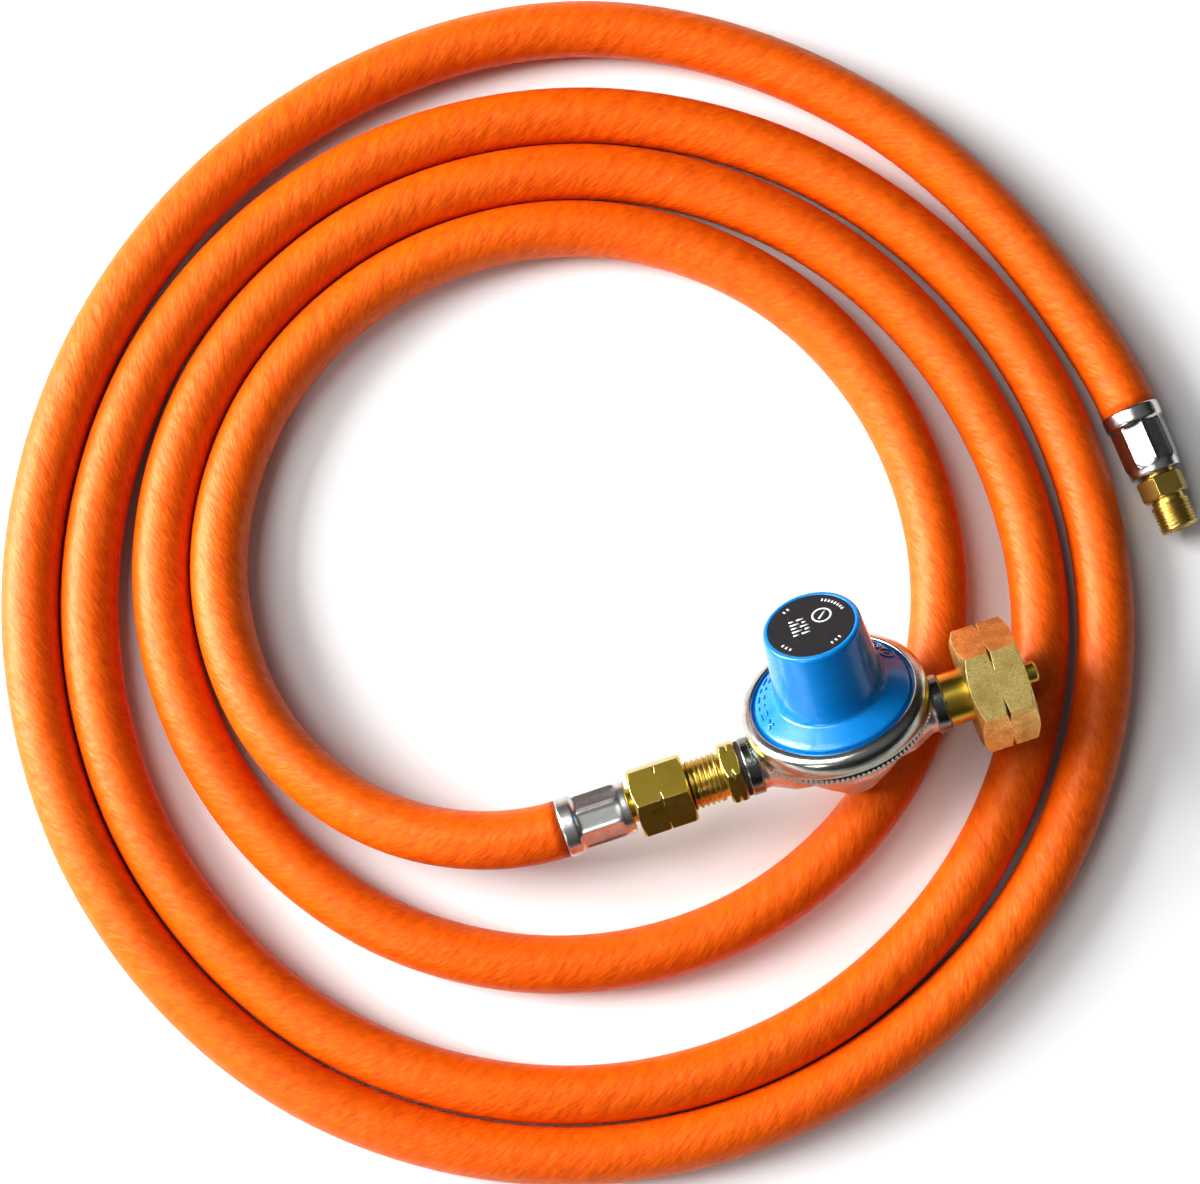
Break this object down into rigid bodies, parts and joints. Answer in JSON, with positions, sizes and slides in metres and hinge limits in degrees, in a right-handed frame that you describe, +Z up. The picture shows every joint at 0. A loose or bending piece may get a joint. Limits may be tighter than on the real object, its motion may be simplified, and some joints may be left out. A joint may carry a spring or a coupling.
{
  "type": "gas regulator with coiled hose",
  "caption": "Low-pressure propane regulator with a hexagon union nut at its inlet and a coiled orange rubber hose ending in a threaded fitting.",
  "frame": {"origin": "on the surface that the coil lies on, directly below the centre of the regulator's in-out axis", "axes": "+Z up from the surface, +X the horizontal direction in which the inlet points"},
  "size_m": [0.3338, 0.3275, 0.0672],
  "materials": {
    "zinc": "cast and tumbled",
    "steel_band": "rolled, slightly brushed",
    "blue_plastic": "moulded, glossy",
    "black_label": "printed, satin",
    "plain_plastic": "moulded",
    "spring_steel": "drawn",
    "black_rubber": "moulded",
    "plated_steel": "zinc plated",
    "brass": "turned",
    "bronze_mesh": "sintered",
    "dark_fibre": "pressed fibre",
    "plated_ferrule": "zinc plated, crimped",
    "orange_rubber": "cloth-marked skin"
  },
  "bodies": {
    "regulator_and_hose": {"body_casting": "zinc", "clamp_ring": "steel_band", "cover": "blue_plastic", "label_disc": "black_label", "adjusting_screw": "plain_plastic", "main_spring": "spring_steel", "diaphragm": "black_rubber", "lever_pin": "plated_steel", "orifice_nozzle": "brass", "inlet_stem": "brass", "inlet_seal": "black_rubber", "inlet_filter": "bronze_mesh", "outlet_washer": "dark_fibre", "outlet_adapter": "brass", "hose_tail": "brass", "ferrule_near": "plated_ferrule", "hose_cuff_near": "orange_rubber", "hose": "orange_rubber", "hose_cuff_far": "orange_rubber", "ferrule_far": "plated_ferrule", "end_fitting": "brass"},
    "diaphragm_set": {"diaphragm_plate": "plated_steel", "diaphragm_washer": "plated_steel", "diaphragm_stem": "brass"},
    "valve_lever": {"lever": "plated_steel"},
    "valve": {"valve_holder": "brass", "valve_pad": "black_rubber"},
    "inlet_nut": {"inlet_nut": "brass"},
    "hose_nut": {"hose_nut": "brass"}
  },
  "joints": [
    {"name": "inlet_nut_spin", "type": "hinge", "parent": "regulator_and_hose", "child": "inlet_nut", "pos_m": [0.04284, 0, 0.03195], "axis": [0.9962, 0, 0.0872], "continuous": true},
    {"name": "hose_nut_spin", "type": "hinge", "parent": "regulator_and_hose", "child": "hose_nut", "pos_m": [-0.05205, 0, 0.02365], "axis": [0.9962, 0, 0.0872], "continuous": true},
    {"name": "diaphragm_slide", "type": "slide", "parent": "regulator_and_hose", "child": "diaphragm_set", "axis": [-0.0637, 0.682, 0.7286], "range_m": [0, 0.0012], "stiffness_N_per_m": 2000, "springref_m": -0.003, "deforming": ["main_spring", "diaphragm"]},
    {"name": "lever_turn", "type": "hinge", "parent": "regulator_and_hose", "child": "valve_lever", "pos_m": [0.00689, -0.00341, 0.02513], "axis": [0.0594, 0.7314, -0.6794], "range_deg": [0, 10.5]},
    {"name": "valve_slide", "type": "slide", "parent": "regulator_and_hose", "child": "valve", "axis": [0.9962, 0, 0.0872], "range_m": [0, 0.00091]}
  ],
  "couplings": [
    {"joint": "lever_turn", "follows": "diaphragm_slide", "rad_per_m": 151.52},
    {"joint": "valve_slide", "follows": "diaphragm_slide", "ratio": 0.75758}
  ]
}
